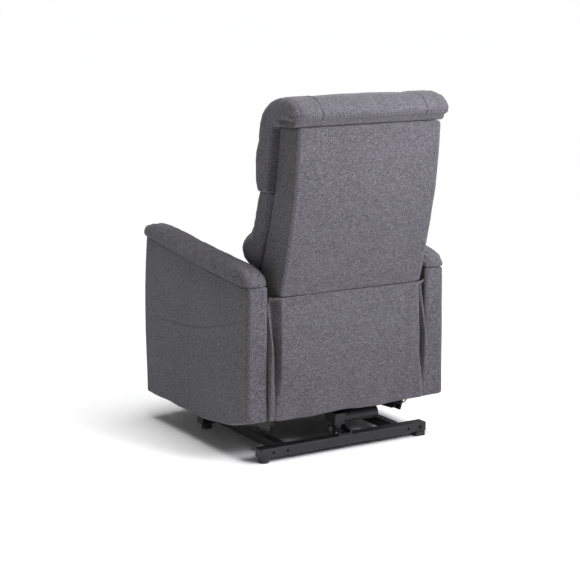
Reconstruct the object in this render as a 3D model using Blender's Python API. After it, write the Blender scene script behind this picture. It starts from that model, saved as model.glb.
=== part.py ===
"""Powered lift recliner chair: lift base, tilting chassis, reclining back, sliding seat, folding footrest.

Metres, +Z up.  The chair faces -Y and +X is the sitter's left.  The origin is on the floor under its middle.
Side outlines are written as (u, z), where u is the distance forward of the arms' rear plane.
"""

import math

import bmesh
import bpy
from mathutils import Vector

GAP = 0.0003  # clearance left between pieces that touch
REAR_PLANE = 0.29  # y of the arms' rear plane

# Upholstered body
ARM_INNER = 0.302
ARM_OUTER = 0.3705
ARM_ROUNDING = 0.010
PAD_INNER = 0.292
PAD_OUTER = 0.380
PAD_ROUNDING = 0.028
SHELL_HALF = 0.264
SHELL_FRONT = (
    (0.115, 0.435),
    (0.110, 0.600),
    (0.097, 0.628),
    (0.053, 0.742),
    (0.018, 0.858),
    (-0.015, 1.062),
)
SHELL_REAR = ((-0.120, 1.062), (-0.096, 0.847), (-0.048, 0.651), (-0.014, 0.5335))
HEAD_HALF = 0.292
LUMBAR_HALF = 0.272
SEAT_HALF = 0.296
SEAT_DECK_TOP = 0.343
HEAD_BOTTOM = 0.853
ROLL_BOTTOM = 1.0625  # underside of the head roll behind the shell
LUMBAR_BOTTOM = 0.6045
SKIRT_TOP = 0.530
SKIRT_BOTTOM = 0.142
SKIRT_HALF = 0.2985
SKIRT_FOLD = 0.268  # x of the fold between the rear panel and the gusset beside it
SKIRT_THICKNESS = 0.005

# Base
RAIL_LOW = 0.017
RAIL_TOP = 0.047
REAR_BAR_HALF = 0.3175
REAR_BAR = (0.012, 0.052)
FRONT_BAR_HALF = 0.290
FRONT_BAR = (0.450, 0.490)
RAIL_SPAN = (0.205, 0.235)
FOOT_RADIUS = 0.0175
FOOT_INSET = 0.0195  # from a crossbar's end to the middle of its foot
STEEL_EDGE = 0.002
BOLT_HOLE_RADIUS = 0.004
BOLT_HOLES = (0.2715, 0.2205, -0.2465)  # x of the holes along the rear crossbar
END_RECESS = (-0.292, 0.007, 0.005)  # x, radius and depth of the round recess at its right end

# Side planes of the linkages, as distances from the middle of the chair
LIFT_LINK_PLANE = (0.218, 0.226)
BRACKET_PLANE = (0.228, 0.234)
LIFT_ARM_PLANE = (0.236, 0.244)
CHASSIS_PLANE = (0.248, 0.254)
SEAT_RAIL_PLANE = (0.210, 0.216)
TILT_LINK_PLANE = (0.210, 0.216)
FOOT_ARM_PLANE = (0.220, 0.226)
FOOT_LINK_PLANE = (0.230, 0.236)
GUIDE_LINK_PLANE = (0.240, 0.246)
BACK_BRACKET_PLANE = (0.2643, 0.2703)

# Lift linkage pivots
LIFT_PIVOT = (0.420, 0.085)
CHASSIS_PIVOT = (0.100, 0.105)
LINK_PIVOT = (0.450, 0.113)
LINK_END = (0.1415, 0.160)
LIFT_CRANK_RADIUS = 0.060
LIFT_CRANK_ANGLE = 120.0
LIFT_MOTOR_PIVOT = (0.066, 0.064)
LIFT_AXIS_HEIGHT = 0.030

# Back pivots
BACK_PIVOT = (0.090, 0.400)
RECLINE_DEGREES = 40.0
BACK_CRANK_RADIUS = 0.080
BACK_CRANK_MIDDLE = 254.2
BACK_MOTOR_PIVOT = (0.330, 0.250)

# Footrest pivots
FOOT_PIVOT = (0.440, 0.250)
OTTOMAN_PIVOT = (0.645, 0.335)
FOOT_LINK_LENGTH = 0.200
FOOT_ARM_SWEEP = 41.42
FOOT_CRANK_RADIUS = 0.090
FOOT_CRANK_MIDDLE = 270.0
FOOT_MOTOR_PIVOT = (0.150, 0.200)
GUIDE_START = (0.300, 0.2593)
GUIDE_END = (0.5856, 0.1250)
TILT_START = (0.5331, 0.0701)
TILT_END = (0.600, 0.310)
FOOT_ROD_STROKE = 0.1236
BACK_ROD_STROKE = 0.0547
LIFT_ROD_STROKE = 0.0607
LIFT_EYE_RISE = 0.0038  # each rod's ring sits off its pin at rest, so that the pin's arc stays inside it
BACK_EYE_RISE = -0.0024
FOOT_EYE_RISE = -0.0029

MID_TUBE = (0.265, 0.235)
REAR_TUBE = (0.100, 0.215)
TUBE_RADIUS = 0.0125
DRIVE_TUBE_RADIUS = 0.010
CROSSBAR_RADIUS = 0.009
BEARING_CLEARANCE = 0.0004
BOSS_BITE = 0.003  # depth that a spacer shares with its link
CRANK_RADIUS = 0.0118  # of the rounded ends of cranks and anchor lugs
MOTOR_OFFSET = 0.090  # sideways distance of the back and footrest actuators from the middle
MOTOR_RADIUS = 0.0165
GEARBOX_HALF_WIDTH = 0.0185
GEARBOX_HALF_HEIGHT = 0.020
ROD_RADIUS = 0.010
RING_HALF_WIDTH = 0.009

HANDSET_U = (0.400, 0.450)
HANDSET_Z = (0.405, 0.545)
HANDSET_X = (-0.3698, -0.3518)
KEY_X = (-0.3745, -0.3715)


def clear_scene():
    for old in list(bpy.data.objects):
        bpy.data.objects.remove(old, do_unlink=True)


def material(name, colour, metallic, roughness):
    made = bpy.data.materials.get(name)
    if made:
        return made
    made = bpy.data.materials.new(name)
    made.use_nodes = True
    shader = made.node_tree.nodes["Principled BSDF"]
    shader.inputs["Base Color"].default_value = (*colour, 1.0)
    shader.inputs["Metallic"].default_value = metallic
    shader.inputs["Roughness"].default_value = roughness
    return made


def fabric():
    return material("charcoal_fabric", (0.105, 0.103, 0.112), 0.0, 0.95)


def black_steel():
    return material("black_steel", (0.018, 0.018, 0.020), 0.6, 0.45)


def black_plastic():
    return material("black_plastic", (0.015, 0.015, 0.016), 0.0, 0.5)


def bright_steel():
    return material("bright_steel", (0.55, 0.55, 0.56), 1.0, 0.25)


def grey_key():
    return material("grey_key", (0.30, 0.30, 0.31), 0.0, 0.5)


def stained_board():
    return material("stained_board", (0.030, 0.026, 0.023), 0.0, 0.7)


def world(x, point):
    """A side-outline point (u, z) at the width x, in the chair's own frame."""
    return Vector((x, REAR_PLANE - point[0], point[1]))


def pivot_at(point):
    return world(0.0, point)


def polar(centre, radius, degrees):
    """The point at an angle from +u towards +Z."""
    angle = math.radians(degrees)
    return (centre[0] + radius * math.cos(angle), centre[1] + radius * math.sin(angle))


def make_object(name, mesh_builder, surface, pivot=None, sharp_degrees=40.0):
    """Turns a bmesh in the chair's frame into an object whose origin is the pivot."""
    origin = pivot or Vector((0.0, 0.0, 0.0))
    bmesh.ops.recalc_face_normals(mesh_builder, faces=mesh_builder.faces)
    bmesh.ops.translate(mesh_builder, verts=mesh_builder.verts, vec=-origin)
    mesh = bpy.data.meshes.new(name)
    mesh_builder.to_mesh(mesh)
    mesh_builder.free()
    mesh.shade_smooth()
    mesh.set_sharp_from_angle(angle=math.radians(sharp_degrees))
    mesh.materials.append(surface)
    made = bpy.data.objects.new(name, mesh)
    made.location = origin
    bpy.context.collection.objects.link(made)
    return made


def combine(target, mesh_builder, operation):
    """Joins a solid to a piece, or cuts it out of it, with an exact Boolean."""
    guide_name = target.name + "_guide_%d" % len(target.modifiers)
    guide = make_object(guide_name, mesh_builder, target.data.materials[0])
    guide.hide_render = True
    guide.display_type = "WIRE"
    step = target.modifiers.new("combine", "BOOLEAN")
    step.operation = operation
    step.solver = "EXACT"
    step.object = guide


def stacked(rings):
    """A closed solid through equal rings of points."""
    builder = bmesh.new()
    made = [[builder.verts.new(point) for point in ring] for ring in rings]
    count = len(rings[0])
    for low, high in zip(made, made[1:]):
        for i in range(count):
            j = (i + 1) % count
            builder.faces.new((low[i], low[j], high[j], high[i]))
    builder.faces.new(made[0])
    builder.faces.new(reversed(made[-1]))
    return builder


def prism(outline, x0, x1):
    return stacked([[world(x, point) for point in outline] for x in (x0, x1)])


def rectangle(u0, u1, z0, z1):
    return [(u0, z0), (u1, z0), (u1, z1), (u0, z1)]


def beveled_box(x0, x1, u0, u1, z0, z1, width, segments=1):
    builder = prism(rectangle(u0, u1, z0, z1), x0, x1)
    edges = builder.edges[:]
    bmesh.ops.bevel(builder, geom=edges, offset=width, segments=segments, affect="EDGES", profile=0.5)
    return builder


def circle(centre, radius, segments):
    return [polar(centre, radius, 360.0 * i / segments) for i in range(segments)]


def cross_rod(centre, radius, x0, x1, segments=16):
    """A round bar lying across the chair."""
    return prism(circle(centre, radius, segments), x0, x1)


def upright_rod(x, u, radius, z0, z1, segments=20):
    rings = []
    for z in (z0, z1):
        turn = [math.tau * i / segments for i in range(segments)]
        rings.append([world(x + radius * math.cos(a), (u + radius * math.sin(a), z)) for a in turn])
    return stacked(rings)


def axial_rod(x, start, end, radius, segments=16):
    """A round bar in a side plane, from one (u, z) point to another."""
    along = Vector((end[0] - start[0], end[1] - start[1])).normalized()
    rings = []
    for point in (start, end):
        ring = []
        for i in range(segments):
            a = math.tau * i / segments
            rise = radius * math.sin(a)
            here = (point[0] - along.y * rise, point[1] + along.x * rise)
            ring.append(world(x + radius * math.cos(a), here))
        rings.append(ring)
    return stacked(rings)


def convex_hull(points):
    """Counterclockwise hull of a few (u, z) points."""
    ordered = sorted(set(points))

    def half(row):
        chain = []
        for p in row:
            while len(chain) > 1 and turn(chain[-2], chain[-1], p) <= 0:
                chain.pop()
            chain.append(p)
        return chain[:-1]

    return half(ordered) + half(ordered[::-1])


def turn(a, b, c):
    return (b[0] - a[0]) * (c[1] - a[1]) - (b[1] - a[1]) * (c[0] - a[0])


def rounded_hull(centres, radius, step_degrees=30.0):
    """The outline of a flat bar or plate with a round lobe at each centre."""
    hull = convex_hull(centres)
    outline = []
    for i, here in enumerate(hull):
        before = hull[i - 1]
        after = hull[(i + 1) % len(hull)]
        start = math.degrees(math.atan2(here[1] - before[1], here[0] - before[0])) - 90.0
        end = math.degrees(math.atan2(after[1] - here[1], after[0] - here[0])) - 90.0
        while end < start:
            end += 360.0
        steps = max(1, round((end - start) / step_degrees))
        outline += [polar(here, radius, start + (end - start) * k / steps) for k in range(steps + 1)]
    return outline


def smooth(points, steps):
    """An open curve through the points, with a few straight steps in each span."""
    padded = [points[0], *points, points[-1]]
    curve = []
    for a, b, c, d in zip(padded, padded[1:], padded[2:], padded[3:]):
        for k in range(steps):
            t = k / steps
            curve.append(tuple(catmull(a[i], b[i], c[i], d[i], t) for i in (0, 1)))
    curve.append(points[-1])
    return curve


def catmull(a, b, c, d, t):
    return 0.5 * (2 * b + (c - a) * t + (2 * a - 5 * b + 4 * c - d) * t * t + (3 * b - a - 3 * c + d) * t**3)


def interpolate(points, z):
    """u of a boundary line at the height z."""
    rising = sorted(points, key=lambda p: p[1])
    for low, high in zip(rising, rising[1:]):
        if low[1] <= z <= high[1]:
            return low[0] + (high[0] - low[0]) * (z - low[1]) / (high[1] - low[1])
    return rising[0][0] if z < rising[0][1] else rising[-1][0]


def pillow(outline, x0, x1, rounding, centre, reach, floor=None, corner_steps=3):
    """A side outline carried across the chair and drawn in at both ends along a quarter circle.

    centre is the point it is drawn in to, and reach its half size in u and z; without a z reach
    it keeps its height.  floor is an optional function giving the height of a surface that the
    part above it rests on, and what is below that surface keeps its height.
    """
    stations = []
    for k in range(corner_steps + 1):
        a = math.pi / 2 * k / corner_steps
        stations.append((rounding * (1 - math.cos(a)), rounding * (1 - math.sin(a))))
    rings = []
    for side, edge in ((1, x0), (-1, x1)):
        half = []
        for inward, inset in stations:
            half.append(shrunk_ring(outline, edge + side * inward, inset, centre, reach, floor))
        rings.append(half)
    return stacked(rings[0] + rings[1][::-1])


def shrunk_ring(outline, x, inset, centre, reach, floor):
    scale_u = 1 - inset / reach[0]
    scale_z = 1 - inset / reach[1] if reach[1] else 1
    ring = []
    for u, z in outline:
        new_u = centre[0] + (u - centre[0]) * scale_u
        if not floor:
            new_z = centre[1] + (z - centre[1]) * scale_z
        elif z >= floor(u):
            new_z = floor(new_u) + (z - floor(u)) * scale_z
        else:
            new_z = z
        ring.append(world(x, (new_u, new_z)))
    return ring


def span(plane, side):
    """The two x values of a side plane on the sitter's left (+1) or right (-1)."""
    return (plane[0], plane[1]) if side > 0 else (-plane[1], -plane[0])


def side_name(base, side):
    return base + ("_left" if side > 0 else "_right")


def boss(plate, centre, radius, start, end, side):
    """A round spacer standing out of a flat link between two distances from the middle."""
    low, high = sorted((start * side, end * side))
    combine(plate, cross_rod(centre, radius, low, high, 12), "UNION")


def flat_link(name, centres, radius, plane, side):
    """A flat bar with a round lobe at each centre, turning about the first of them."""
    solid = prism(rounded_hull(centres, radius), *span(plane, side))
    return make_object(side_name(name, side), solid, black_steel(), pivot_at(centres[0]))


# ---------------------------------------------------------------- base


def base_bars():
    rear = beveled_box(-REAR_BAR_HALF, REAR_BAR_HALF, *REAR_BAR, RAIL_LOW, RAIL_TOP, STEEL_EDGE)
    bar = make_object("base_rear_crossbar", rear, black_steel())
    middle = (RAIL_LOW + RAIL_TOP) / 2
    holes = [(x, BOLT_HOLE_RADIUS, 2 * BOLT_HOLE_RADIUS) for x in BOLT_HOLES]
    for x, radius, depth in (*holes, END_RECESS):
        hole = axial_rod(x, (REAR_BAR[0] - 0.01, middle), (REAR_BAR[0] + depth, middle), radius, 12)
        combine(bar, hole, "DIFFERENCE")
    front = beveled_box(-FRONT_BAR_HALF, FRONT_BAR_HALF, *FRONT_BAR, RAIL_LOW, RAIL_TOP, STEEL_EDGE)
    make_object("base_front_crossbar", front, black_steel())
    u0 = REAR_BAR[1] + GAP
    u1 = FRONT_BAR[0] - GAP
    for side in (1, -1):
        rail = beveled_box(*span(RAIL_SPAN, side), u0, u1, RAIL_LOW, RAIL_TOP, STEEL_EDGE)
        make_object(side_name("base_rail", side), rail, black_steel())


def base_feet():
    rear_u = (REAR_BAR[0] + REAR_BAR[1]) / 2
    front_u = (FRONT_BAR[0] + FRONT_BAR[1]) / 2
    top = RAIL_LOW - GAP
    rear_x = REAR_BAR_HALF - FOOT_INSET
    make_object("foot_rear_left", upright_rod(rear_x, rear_u, FOOT_RADIUS, 0.0, top), black_plastic())
    half = 0.018  # the rear right foot is a square block
    block = beveled_box(-rear_x - half, -rear_x + half, rear_u - half, rear_u + half, 0.0, top, STEEL_EDGE)
    make_object("foot_rear_right", block, black_plastic())
    for side in (1, -1):
        foot = upright_rod(side * (FRONT_BAR_HALF - FOOT_RADIUS - 0.0075), front_u, FOOT_RADIUS, 0.0, top)
        make_object(side_name("foot_front", side), foot, black_plastic())


def lift_brackets():
    low = RAIL_TOP + GAP
    outline = [(0.385, low), (0.478, low), (0.478, 0.105), (0.464, 0.127), (0.438, 0.127)]
    outline += [(0.398, 0.105), (0.385, 0.080)]
    for side in (1, -1):
        solid = prism(outline, *span(BRACKET_PLANE, side))
        plate = make_object(side_name("lift_bracket", side), solid, black_steel())
        hole = cross_rod(LIFT_PIVOT, TUBE_RADIUS + BEARING_CLEARANCE, *span((0.220, 0.240), side), 16)
        combine(plate, hole, "DIFFERENCE")


def motor_bracket():
    """A forked bracket bolted to the rear crossbar, open above for the gearbox."""
    low = RAIL_TOP + GAP
    cheek = [(0.016, low), (0.078, low), (0.082, 0.058), (0.075, 0.0715), (0.057, 0.0715), (0.016, 0.058)]
    bracket = make_object("motor_bracket", prism(cheek, 0.0192, 0.0252), black_steel())
    combine(bracket, prism(cheek, -0.0252, -0.0192), "UNION")
    combine(bracket, prism(rectangle(0.017, 0.050, low + 0.0002, low + 0.005), -0.022, 0.022), "UNION")


# ---------------------------------------------------------------- lift linkage


def lift_linkage():
    arm_root = LIFT_ARM_PLANE[0] + BOSS_BITE
    link_root = LIFT_LINK_PLANE[0] + BOSS_BITE
    for side in (1, -1):
        arm = flat_link("lift_arm", (LIFT_PIVOT, CHASSIS_PIVOT), 0.020, LIFT_ARM_PLANE, side)
        boss(arm, CHASSIS_PIVOT, 0.012, arm_root, CHASSIS_PLANE[0] - GAP, side)
        link = flat_link("lift_link", (LINK_PIVOT, LINK_END), 0.011, LIFT_LINK_PLANE, side)
        boss(link, LINK_PIVOT, 0.008, link_root, BRACKET_PLANE[0] - GAP, side)
        boss(link, LINK_END, 0.008, link_root, CHASSIS_PLANE[0] - GAP, side)
    reach = LIFT_ARM_PLANE[0] - GAP
    bar = cross_rod(LIFT_PIVOT, TUBE_RADIUS, -reach, reach, 16)
    tube = make_object("lift_tube", bar, black_steel(), pivot_at(LIFT_PIVOT))
    add_crank(tube, LIFT_PIVOT, lift_crank_end(), 0.0)


def lift_crank_end():
    return polar(LIFT_PIVOT, LIFT_CRANK_RADIUS, LIFT_CRANK_ANGLE)


def add_crank(tube, centre, end, x):
    """Two cheeks on a turning tube, with a cross pin for an actuator's eye."""
    for low, high in ((x + 0.0112, x + 0.0162), (x - 0.0162, x - 0.0112)):
        combine(tube, prism(rounded_hull((centre, end), CRANK_RADIUS), low, high), "UNION")
    combine(tube, cross_rod(end, 0.006, x - 0.014, x + 0.014, 12), "UNION")


# ---------------------------------------------------------------- actuators


def actuator(prefix, pivot, eye, height, x, reach, eye_hole, motor):
    """A linear actuator: a gearbox with a bored outer tube, and a rod with a ring at its end.

    It lies between the points pivot and eye, in the side plane x.  height is the rod axis's distance
    above the pivot, and reach the rod's least and most travel from rest.  motor gives the motor's
    distance along the housing, its two side positions, its radius and its name if it is a piece.
    """
    distance = math.hypot(eye[0] - pivot[0], eye[1] - pivot[1])
    angle = math.atan2(eye[1] - pivot[1], eye[0] - pivot[0]) - math.asin(height / distance)
    length = math.sqrt(distance**2 - height**2)

    def at(along, up):
        return (
            pivot[0] + along * math.cos(angle) - up * math.sin(angle),
            pivot[1] + along * math.sin(angle) + up * math.cos(angle),
        )

    tube_end = length + reach[0] - 0.035
    tail = tube_end - 0.020 - reach[1]
    bore_start = tail + reach[0] - 0.003
    low, high = height - GEARBOX_HALF_HEIGHT, height + GEARBOX_HALF_HEIGHT
    block = [at(-0.012, low), at(0.046, low), at(0.046, high), at(-0.012, high)]
    solid = prism(block, x - GEARBOX_HALF_WIDTH, x + GEARBOX_HALF_WIDTH)
    housing = make_object(prefix + "_housing", solid, black_plastic(), pivot_at(pivot))
    if height > 0.0:
        lug = rounded_hull((pivot, at(0.010, height)), 0.011)
        combine(housing, prism(lug, x - RING_HALF_WIDTH, x + RING_HALF_WIDTH), "UNION")
    combine(housing, axial_rod(x, at(0.040, height), at(tube_end, height), MOTOR_RADIUS), "UNION")
    bore = axial_rod(x, at(bore_start, height), at(tube_end + 0.02, height), ROD_RADIUS + 0.0006)
    combine(housing, bore, "DIFFERENCE")
    along, x_start, x_end, radius, motor_name = motor
    motor_solid = cross_rod(at(along, height), radius, x_start, x_end, 20)
    if motor_name:
        make_object(motor_name, motor_solid, black_plastic(), pivot_at(pivot))
    else:
        combine(housing, motor_solid, "UNION")
    bar = axial_rod(x, at(tail, height), at(length - 0.012, height), ROD_RADIUS)
    rod = make_object(prefix + "_rod", bar, bright_steel())
    ring = cross_rod(eye, eye_hole + 0.0055, x - RING_HALF_WIDTH, x + RING_HALF_WIDTH, 20)
    combine(rod, ring, "UNION")
    combine(rod, cross_rod(eye, eye_hole, x - 0.02, x + 0.02, 20), "DIFFERENCE")


def lift_actuator():
    motor = (0.010, -0.150, -GEARBOX_HALF_WIDTH - GAP, 0.0215, "lift_motor")
    eye = raised(lift_crank_end(), LIFT_EYE_RISE)
    reach = (0.0, LIFT_ROD_STROKE)
    actuator("lift_actuator", LIFT_MOTOR_PIVOT, eye, LIFT_AXIS_HEIGHT, 0.0, reach, 0.0112, motor)


def back_actuator():
    x = -MOTOR_OFFSET
    motor = (0.075, x + 0.010, x + 0.085, MOTOR_RADIUS, None)
    eye = raised(crossbar_point(), BACK_EYE_RISE)
    actuator("back_actuator", BACK_MOTOR_PIVOT, eye, 0.0, x, (-BACK_ROD_STROKE, 0.0), 0.0125, motor)


def foot_actuator():
    x = MOTOR_OFFSET
    motor = (0.050, x - 0.085, x - 0.010, MOTOR_RADIUS, None)
    eye = raised(foot_crank_end(), FOOT_EYE_RISE)
    actuator("foot_actuator", FOOT_MOTOR_PIVOT, eye, 0.0, x, (0.0, FOOT_ROD_STROKE), 0.0105, motor)


def raised(point, rise):
    return (point[0], point[1] + rise)


def crossbar_point():
    return polar(BACK_PIVOT, BACK_CRANK_RADIUS, BACK_CRANK_MIDDLE - RECLINE_DEGREES / 2)


def foot_crank_end():
    return polar(FOOT_PIVOT, FOOT_CRANK_RADIUS, FOOT_CRANK_MIDDLE - FOOT_ARM_SWEEP / 2)


# ---------------------------------------------------------------- chassis


def chassis_plates():
    lobe = [polar(BACK_PIVOT, 0.027, 45.0 + 22.5 * k) for k in range(11)]
    outline = [(0.155, 0.322), (0.155, 0.362), *lobe, (0.136, 0.345), (0.136, 0.295)]
    outline += [(0.052, 0.295), (0.052, 0.130), (0.070, 0.084), (0.130, 0.084), (0.200, 0.140)]
    outline += [(0.560, 0.200), (0.600, 0.230), (0.600, 0.322)]
    for side in (1, -1):
        solid = prism(outline, *span(CHASSIS_PLANE, side))
        plate = make_object(side_name("chassis_plate", side), solid, black_steel())
        for centre in (MID_TUBE, REAR_TUBE):
            hole = cross_rod(centre, TUBE_RADIUS + BEARING_CLEARANCE, *span((0.240, 0.262), side), 16)
            combine(plate, hole, "DIFFERENCE")


def chassis_tubes():
    """Cross tubes that carry the arms at their ends and one actuator anchor lug each."""
    reach = ARM_INNER - GAP
    beside = MOTOR_OFFSET + GEARBOX_HALF_WIDTH + GAP
    for name, centre, anchor, x in (
        ("chassis_mid_tube", MID_TUBE, BACK_MOTOR_PIVOT, -beside),
        ("chassis_rear_tube", REAR_TUBE, FOOT_MOTOR_PIVOT, beside),
    ):
        tube = make_object(name, cross_rod(centre, TUBE_RADIUS, -reach, reach, 16), black_steel())
        low, high = sorted((x, x + math.copysign(0.006, x)))
        combine(tube, prism(rounded_hull((centre, anchor), CRANK_RADIUS), low, high), "UNION")


def control_box():
    box = beveled_box(-0.197, -0.130, 0.222, 0.306, 0.184, MID_TUBE[1] - TUBE_RADIUS - GAP, 0.003)
    make_object("control_box", box, black_plastic())


SEAM_STATIONS = (0.0, 0.12, 0.25, 0.40, 0.52, 0.62)


def seam_height(u):
    """Top edge of the arm's side panel, where the pad starts."""
    return 0.569 + 0.066 * u + 0.055 * u * u - 0.045 * max(0.0, u - 0.6)


def arms():
    bottom = smooth([(0.0, 0.141), (0.088, 0.116), (0.142, 0.106), (0.218, 0.095), (0.290, 0.090)], 2)
    top = [(u, seam_height(u) - GAP) for u in (0.700, *SEAM_STATIONS[:0:-1], 0.0)]
    front = [(0.698, 0.090), (0.704, 0.18), (0.715, 0.305), (0.717, 0.46), (0.710, 0.56)]
    outline = bottom + front + top
    for side in (1, -1):
        x0, x1 = span((ARM_INNER, ARM_OUTER), side)
        solid = pillow(outline, x0, x1, ARM_ROUNDING, (0.35, 0.35), (0.35, 0.26), corner_steps=2)
        arm = make_object(side_name("arm", side), solid, fabric(), sharp_degrees=60.0)
        if side < 0:
            combine(arm, handset_recess(), "DIFFERENCE")


def handset_recess():
    """The pocket in the right arm's outer side, open outwards, that holds the handset with a little play."""
    play = 0.002
    outline = rectangle(
        HANDSET_U[0] - play, HANDSET_U[1] + play, HANDSET_Z[0] - play, HANDSET_Z[1] + play
    )
    return prism(outline, -ARM_OUTER - 0.035, HANDSET_X[1] + 0.0004)


def arm_pads():
    bottom = [(u, seam_height(u) + GAP) for u in (*SEAM_STATIONS, 0.700)]
    top = [(0.7135, 0.648), (0.708, 0.665), (0.676, 0.678), (0.549, 0.670), (0.381, 0.652), (0.222, 0.638)]
    top += [(0.080, 0.626), (0.022, 0.607), (0.0, 0.582)]
    outline = bottom + smooth(top, 2)
    for side in (1, -1):
        x0, x1 = span((PAD_INNER, PAD_OUTER), side)
        reach = (0.354, 0.082)
        solid = pillow(outline, x0, x1, PAD_ROUNDING, (0.354, 0.0), reach, lambda u: seam_height(u) + GAP, 4)
        make_object(side_name("arm_pad", side), solid, fabric(), sharp_degrees=70.0)


def offset_path(path, distance):
    """The same row of (x, u) points moved sideways, to the right of the way it runs."""
    moved = []
    for i, point in enumerate(path):
        before = path[max(i - 1, 0)]
        after = path[min(i + 1, len(path) - 1)]
        along = Vector((after[0] - before[0], after[1] - before[1])).normalized()
        moved.append((point[0] + along.y * distance, point[1] - along.x * distance))
    return moved


def skirt_path(share):
    """The skirt's outside, from the left gusset's front edge to the right one's, at a share of its height."""
    rear = -0.012 - 0.008 * math.sin(math.pi * share)
    front = 0.002 + 0.046 * share**1.5
    corner = SKIRT_FOLD - 0.004
    left = [(SKIRT_HALF, front), (SKIRT_FOLD + 0.004, rear + 0.005), (corner - 0.006, rear)]
    left.append((corner * 0.5, rear - 0.001))
    return left + [(-x, u) for x, u in left[::-1]]


def rear_skirt():
    """The loose lower rear panel, with a gusset on each side that closes the gap beside the back."""
    rings = []
    steps = 8
    for k in range(steps + 1):
        z = SKIRT_BOTTOM + (SKIRT_TOP - SKIRT_BOTTOM) * k / steps
        outer = skirt_path(k / steps)
        path = outer + offset_path(outer, SKIRT_THICKNESS)[::-1]
        rings.append([world(x, (u, z)) for x, u in path])
    make_object("rear_skirt", stacked(rings), fabric(), sharp_degrees=50.0)


def motor_lead():
    """A cable from the control box that hangs in a shallow loop under the skirt, up to the rear tube."""
    route = [
        (-0.160, 0.2216, 0.203),
        (-0.160, 0.200, 0.202),
        (-0.165, 0.150, 0.180),
        (-0.180, 0.085, 0.150),
        (-0.198, 0.040, 0.129),
        (-0.212, 0.020, 0.124),
        (-0.228, 0.012, 0.129),
        (-0.238, 0.014, 0.143),
        (-0.236, 0.026, 0.164),
        (-0.218, 0.052, 0.195),
        (-0.195, 0.0850, 0.213),
    ]
    points = [world(x, (u, z)) for x, u, z in route]
    path = bpy.data.curves.new("motor_lead", "CURVE")
    path.dimensions = "3D"
    path.bevel_depth = 0.0022
    path.bevel_resolution = 2
    path.use_fill_caps = True
    line = path.splines.new("POLY")
    samples = []
    padded = [points[0], *points, points[-1]]
    for a, b, c, d in zip(padded, padded[1:], padded[2:], padded[3:]):
        for k in range(4):
            samples.append(Vector([catmull(a[i], b[i], c[i], d[i], k / 4) for i in range(3)]))
    samples.append(points[-1])
    line.points.add(len(samples) - 1)
    for target, point in zip(line.points, samples):
        target.co = (*point, 1.0)
    path.materials.append(black_plastic())
    made = bpy.data.objects.new("motor_lead", path)
    bpy.context.collection.objects.link(made)


def handset():
    u0, u1 = HANDSET_U
    z0, z1 = HANDSET_Z
    middle_u = (u0 + u1) / 2
    body = beveled_box(*HANDSET_X, u0, u1, z0, z1, 0.004, 2)
    make_object("handset_body", body, black_plastic(), world(HANDSET_X[0], (middle_u, (z0 + z1) / 2)))
    for name, z in (("key_back", 0.515), ("key_footrest", 0.480), ("key_lift", 0.440)):
        key = beveled_box(*KEY_X, middle_u - 0.015, middle_u + 0.015, z - 0.012, z + 0.012, 0.0012)
        make_object(name, key, grey_key(), world(KEY_X[1], (middle_u, z)))


# ---------------------------------------------------------------- back


def shell_front(z):
    return interpolate(SHELL_FRONT, z) + 0.001


def back_shell():
    rear = smooth(SHELL_REAR, 2)
    outline = [*SHELL_FRONT[:-1], (-0.015, 1.0616), (-0.1195, 1.0616), *rear[1:]]
    outline += [(0.010, 0.532), (0.020, 0.470), (0.030, 0.435)]
    solid = pillow(outline, -SHELL_HALF, SHELL_HALF, 0.010, (0.0, 0.78), (0.10, 0.32), corner_steps=2)
    make_object("back_shell", solid, fabric(), pivot_at(BACK_PIVOT), sharp_degrees=50.0)


def head_cushion():
    """The head pillow and the roll over the shell's top, in one piece."""
    wrap = [(-0.1185, ROLL_BOTTOM), (-0.1270, 1.080), (-0.1400, 1.106), (-0.114, 1.138)]
    wrap += [(-0.060, 1.150), (0.005, 1.142)]
    face = [(0.058, 1.105), (0.089, 1.031), (0.109, 0.952), (0.108, 0.885), (0.093, HEAD_BOTTOM)]
    behind = [(shell_front(z), z) for z in (HEAD_BOTTOM, 0.858)] + [(shell_front(1.062), ROLL_BOTTOM)]
    outline = smooth(wrap + face, 2) + behind
    reach = (0.13, 1.150 - ROLL_BOTTOM)
    solid = pillow(outline, -HEAD_HALF, HEAD_HALF, 0.034, (0.0, 0.0), reach, lambda u: ROLL_BOTTOM, 4)
    make_object("head_cushion", solid, fabric(), pivot_at(BACK_PIVOT), sharp_degrees=70.0)


def lumbar_cushion():
    top = HEAD_BOTTOM - 0.001
    face = [(0.093, top), (0.129, 0.800), (0.182, 0.722), (0.222, 0.676), (0.227, 0.653)]
    face += [(0.214, 0.629), (0.180, 0.611), (0.140, LUMBAR_BOTTOM)]
    behind = [(shell_front(z), z) for z in (LUMBAR_BOTTOM, 0.628, 0.742, top)]
    outline = smooth(face, 2) + behind
    solid = pillow(outline, -LUMBAR_HALF, LUMBAR_HALF, 0.026, (0.12, 0.72), (0.11, None))
    make_object("lumbar_cushion", solid, fabric(), pivot_at(BACK_PIVOT), sharp_degrees=70.0)


def lower_back_cushion():
    top = LUMBAR_BOTTOM - 0.001
    face = [(0.170, top), (0.205, 0.594), (0.222, 0.562), (0.222, 0.525), (0.208, 0.492)]
    face += [(0.185, 0.476)]
    behind = [(shell_front(z), z) for z in (0.476, 0.599, top)]
    outline = smooth(face, 2) + behind
    solid = pillow(outline, -LUMBAR_HALF, LUMBAR_HALF, 0.022, (0.165, 0.54), (0.058, None))
    make_object("lower_back_cushion", solid, fabric(), pivot_at(BACK_PIVOT), sharp_degrees=70.0)


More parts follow.
